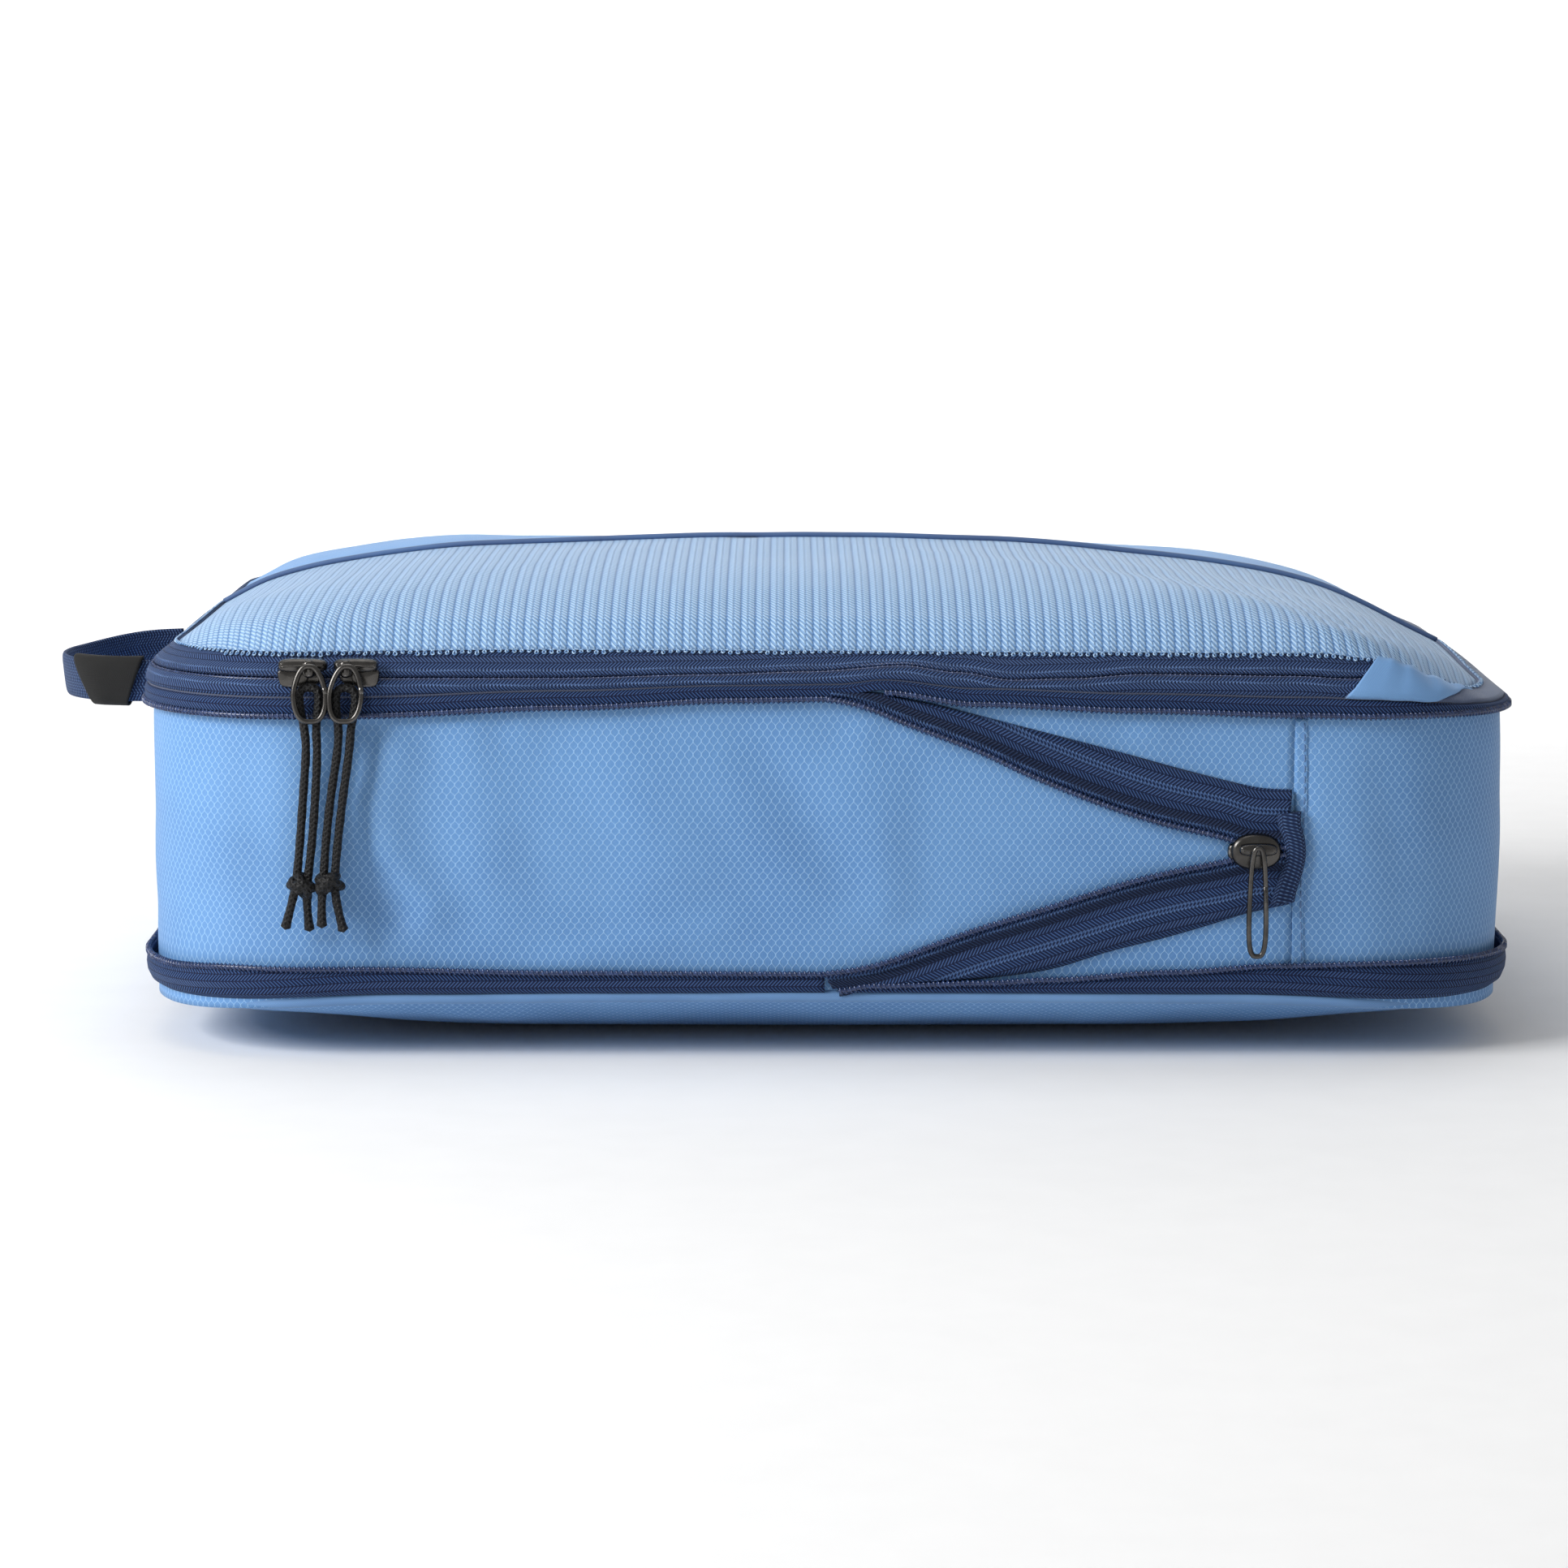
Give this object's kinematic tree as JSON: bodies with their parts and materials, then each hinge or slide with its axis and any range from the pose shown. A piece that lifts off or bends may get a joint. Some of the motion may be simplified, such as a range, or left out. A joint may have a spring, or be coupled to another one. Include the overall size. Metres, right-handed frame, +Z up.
{
  "type": "packing cube",
  "caption": "Expanding zipped packing cube with a mesh and cloth lid, a second zip round its walls that compresses it, corded pulls and a grab handle.",
  "frame": {"origin": "middle of the body outline, on the flat of the bottom panel that it rests on", "axes": "+X from the grab handle end to the lid's hinge end, +Z up, -Y the front, where the zip pulls hang"},
  "size_m": [0.3911, 0.2561, 0.125],
  "materials": {
    "ripstop": "woven ripstop, satin",
    "plain_cloth": "smooth woven",
    "mesh": "ribbed knit mesh",
    "navy_tape": "herringbone zip tape",
    "navy_cloth": "plain woven",
    "coil": "moulded nylon coil",
    "webbing": "ribbed webbing",
    "label": "woven label, plain",
    "cord": "braided cord",
    "gunmetal": "black nickel, polished"
  },
  "bodies": {
    "base": {"bottom_panel": "ripstop", "bottom_edge_piping": "plain_cloth", "compression_zip_lower_tape": "navy_tape", "compression_zip_lower_coil": "coil", "gusset_long_panel": "ripstop", "gusset_hinge_end_panel": "ripstop", "gusset_seam_tape_front": "navy_cloth", "gusset_seam_tape_back": "navy_cloth", "compression_zip_upper_strip": "navy_tape", "compression_zip_upper_strip_coil": "coil", "compression_zip_lower_strip": "navy_tape", "compression_zip_lower_strip_coil": "coil", "slider_garage_tab": "webbing"},
    "upper_shell": {"compression_zip_upper_tape": "navy_tape", "compression_zip_upper_coil": "coil", "upper_rim_binding": "navy_cloth", "main_zip_lower_tape": "navy_tape", "main_zip_lower_coil": "coil", "hinge_end_strip": "navy_cloth", "corner_patch_front": "ripstop", "corner_patch_back": "ripstop", "lid_mesh_hinge_end": "mesh", "lid_solid_hinge_end": "plain_cloth", "lid_seam_piping_hinge_end": "navy_cloth"},
    "lid": {"main_zip_upper_tape": "navy_tape", "main_zip_upper_coil": "coil", "lid_mesh_panel": "mesh", "lid_solid_panel": "plain_cloth", "lid_seam_piping": "navy_cloth"},
    "slider_left": {"main_slider_left": "gunmetal"},
    "slider_right": {"main_slider_right": "gunmetal"},
    "pull_left": {"pull_bail_left": "gunmetal", "pull_cord_left": "cord", "cord_knot_left": "cord"},
    "pull_right": {"pull_bail_right": "gunmetal", "pull_cord_right": "cord", "cord_knot_right": "cord"},
    "comp_slider": {"compression_slider": "gunmetal"},
    "comp_pull": {"compression_pull": "gunmetal"},
    "handle": {"grab_handle": "webbing", "handle_label": "label"}
  },
  "joints": [
    {"name": "compress", "type": "slide", "parent": "base", "child": "upper_shell", "axis": [0, 0, 1], "range_m": [-0.062, 0], "deforming": ["gusset_long_panel", "gusset_hinge_end_panel", "gusset_seam_tape_front", "gusset_seam_tape_back", "compression_zip_upper_strip", "compression_zip_upper_strip_coil", "compression_zip_lower_strip", "compression_zip_lower_strip_coil", "slider_garage_tab"]},
    {"name": "lid_hinge", "type": "hinge", "parent": "upper_shell", "child": "lid", "pos_m": [0.1345, 0, 0.1149], "axis": [0, 1, 0], "range_deg": [0, 150]},
    {"name": "compression_slider_run", "type": "slide", "parent": "base", "child": "comp_slider", "axis": [-0.9664, 0, -0.257], "range_m": [0, 0.101]},
    {"name": "compression_pull_swing", "type": "hinge", "parent": "comp_slider", "child": "comp_pull", "pos_m": [0.1094, -0.12725, 0.055], "axis": [-1, 0, 0], "range_deg": [0, 110]},
    {"name": "main_slider_left_run", "type": "hinge", "parent": "upper_shell", "child": "slider_left", "pos_m": [-0.1325, -0.077, 0.0985], "axis": [0, 0, -1], "range_deg": [0, 90]},
    {"name": "main_slider_right_run", "type": "slide", "parent": "upper_shell", "child": "slider_right", "axis": [1, 0, 0], "range_m": [0, 0.245]},
    {"name": "pull_left_swing", "type": "hinge", "parent": "slider_left", "child": "pull_left", "pos_m": [-0.1317, -0.12425, 0.1012], "axis": [-1, 0, 0], "range_deg": [0, 110]},
    {"name": "pull_right_swing", "type": "hinge", "parent": "slider_right", "child": "pull_right", "pos_m": [-0.1224, -0.12425, 0.1012], "axis": [-1, 0, 0], "range_deg": [0, 110]},
    {"name": "handle_lift", "type": "hinge", "parent": "upper_shell", "child": "handle", "pos_m": [-0.1783, -0.015, 0.0944], "axis": [0, 1, 0], "range_deg": [0, 75]}
  ],
  "couplings": [
    {"joint": "compression_slider_run", "follows": "compress", "ratio": -1.6256}
  ]
}
